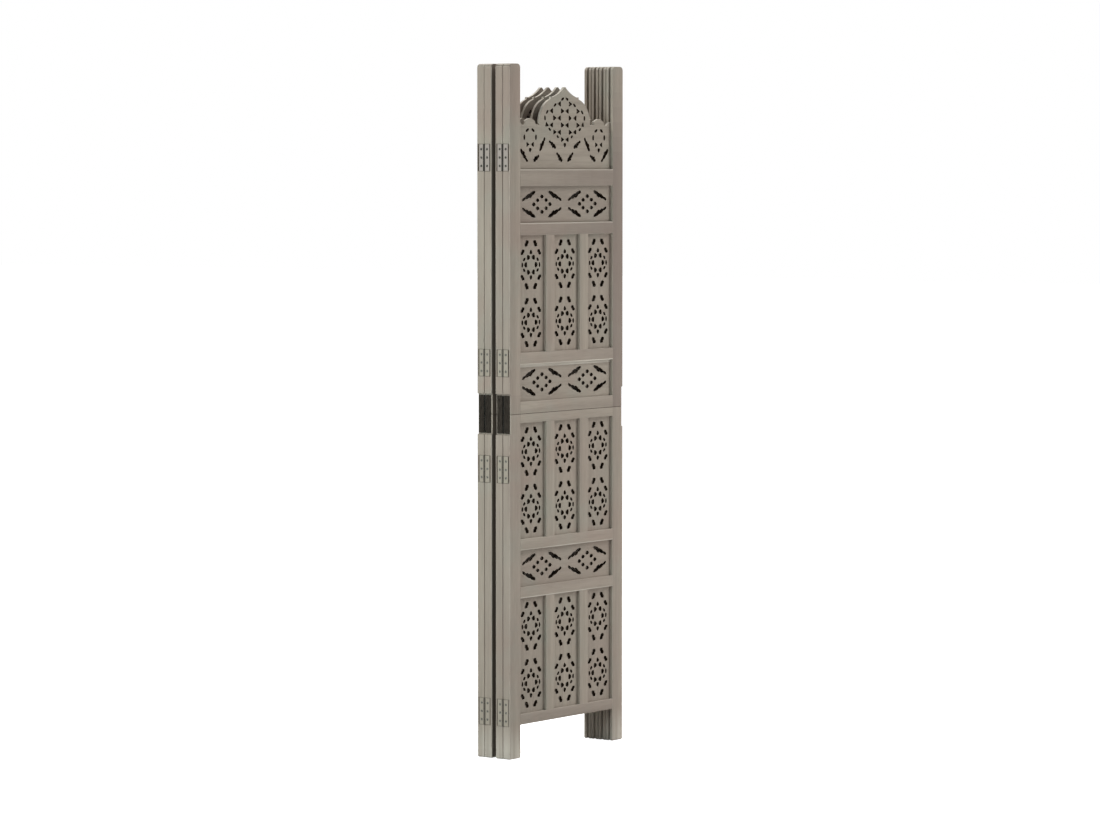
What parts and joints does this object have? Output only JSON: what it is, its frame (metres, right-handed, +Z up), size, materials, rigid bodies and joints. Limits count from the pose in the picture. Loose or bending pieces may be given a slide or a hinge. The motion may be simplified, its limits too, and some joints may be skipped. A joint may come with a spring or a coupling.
{
  "type": "folding screen",
  "caption": "Folding room divider of hinged wooden panels: each a grooved frame in an upper and a lower half, holding thin boards pierced with flowers and leaves, under an onion-dome crown.",
  "frame": {"origin": "on the floor, under the middle of the folded screen's bounding box", "axes": "+X across a panel, from the hinged left edge to the right as seen from the front; +Y from the front panel to the rear one; +Z up"},
  "size_m": [0.5152, 0.1084, 1.829],
  "materials": {
    "frame_wood": "matt greige wash over open grain",
    "carved_wood": "matt greige wash, darker in the piercings",
    "hinge_steel": "washed over with the wood's own paint",
    "joining_plate": "dull black, streaked"
  },
  "bodies": {
    "panel_1": {"panel_1_column_boards": "carved_wood", "panel_1_crown_board": "carved_wood", "panel_1_frieze_boards": "carved_wood", "panel_1_joining_plates": "joining_plate", "panel_1_lower_left_stile": "frame_wood", "panel_1_lower_rails": "frame_wood", "panel_1_lower_right_stile": "frame_wood", "panel_1_mullions": "frame_wood", "panel_1_upper_left_stile": "frame_wood", "panel_1_upper_rails": "frame_wood", "panel_1_upper_right_stile": "frame_wood", "hinge_1_front_leaves": "hinge_steel", "hinge_1_pins": "hinge_steel"},
    "panel_2": {"panel_2_column_boards": "carved_wood", "panel_2_crown_board": "carved_wood", "panel_2_frieze_boards": "carved_wood", "panel_2_joining_plates": "joining_plate", "panel_2_lower_left_stile": "frame_wood", "panel_2_lower_rails": "frame_wood", "panel_2_lower_right_stile": "frame_wood", "panel_2_mullions": "frame_wood", "panel_2_upper_left_stile": "frame_wood", "panel_2_upper_rails": "frame_wood", "panel_2_upper_right_stile": "frame_wood", "hinge_1_rear_leaves": "hinge_steel", "hinge_2_front_leaves": "hinge_steel", "hinge_2_pins": "hinge_steel"},
    "panel_3": {"panel_3_column_boards": "carved_wood", "panel_3_crown_board": "carved_wood", "panel_3_frieze_boards": "carved_wood", "panel_3_joining_plates": "joining_plate", "panel_3_lower_left_stile": "frame_wood", "panel_3_lower_rails": "frame_wood", "panel_3_lower_right_stile": "frame_wood", "panel_3_mullions": "frame_wood", "panel_3_upper_left_stile": "frame_wood", "panel_3_upper_rails": "frame_wood", "panel_3_upper_right_stile": "frame_wood", "hinge_2_rear_leaves": "hinge_steel", "hinge_3_front_leaves": "hinge_steel", "hinge_3_pins": "hinge_steel"},
    "panel_4": {"panel_4_column_boards": "carved_wood", "panel_4_crown_board": "carved_wood", "panel_4_frieze_boards": "carved_wood", "panel_4_joining_plates": "joining_plate", "panel_4_lower_left_stile": "frame_wood", "panel_4_lower_rails": "frame_wood", "panel_4_lower_right_stile": "frame_wood", "panel_4_mullions": "frame_wood", "panel_4_upper_left_stile": "frame_wood", "panel_4_upper_rails": "frame_wood", "panel_4_upper_right_stile": "frame_wood", "hinge_3_rear_leaves": "hinge_steel"}
  },
  "joints": [
    {"name": "front_pair_fold", "type": "hinge", "parent": "panel_1", "child": "panel_2", "pos_m": [-0.255, -0.03065, 0], "axis": [0, 0, 1], "range_deg": [0, 180]},
    {"name": "middle_fold", "type": "hinge", "parent": "panel_2", "child": "panel_3", "pos_m": [0.255, -0.00665, 0], "axis": [0, 0, -1], "range_deg": [-1.5, 178.5]},
    {"name": "rear_pair_fold", "type": "hinge", "parent": "panel_3", "child": "panel_4", "pos_m": [-0.2542, 0.03069, 0], "axis": [0, 0, 1], "range_deg": [0, 180]}
  ]
}
